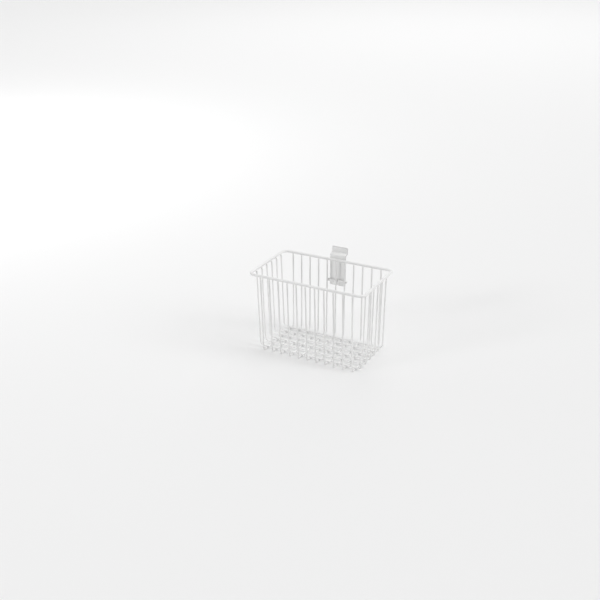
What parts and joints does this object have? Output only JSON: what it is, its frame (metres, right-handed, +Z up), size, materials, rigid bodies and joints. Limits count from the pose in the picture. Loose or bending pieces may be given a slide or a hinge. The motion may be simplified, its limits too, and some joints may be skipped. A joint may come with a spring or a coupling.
{
  "type": "hanging storage basket",
  "caption": "Open rectangular basket of welded coated wire with leaning walls and a bent hook plate on its back for a slatted wall panel.",
  "frame": {"origin": "middle of the whole part's footprint, on the floor that the basket stands on", "axes": "+Z up, +X along the long side, +Y to the wall behind the hook plate"},
  "size_m": [0.205, 0.1292, 0.1576],
  "materials": {
    "rim_coat": "white powder coat, soft gloss",
    "wire_coat": "white powder coat, soft gloss",
    "plate_coat": "white powder coat, satin"
  },
  "bodies": {
    "root": {"rim": "rim_coat", "cross_wire_01": "wire_coat", "cross_wire_02": "wire_coat", "cross_wire_03": "wire_coat", "cross_wire_04": "wire_coat", "cross_wire_05": "wire_coat", "cross_wire_06": "wire_coat", "cross_wire_07": "wire_coat", "cross_wire_08": "wire_coat", "cross_wire_09": "wire_coat", "cross_wire_10": "wire_coat", "cross_wire_11": "wire_coat", "long_wire_01": "wire_coat", "long_wire_02": "wire_coat", "long_wire_03": "wire_coat", "long_wire_04": "wire_coat", "long_wire_05": "wire_coat", "long_wire_06": "wire_coat", "bracket_crossbar": "rim_coat", "hook_plate": "plate_coat"}
  },
  "joints": []
}
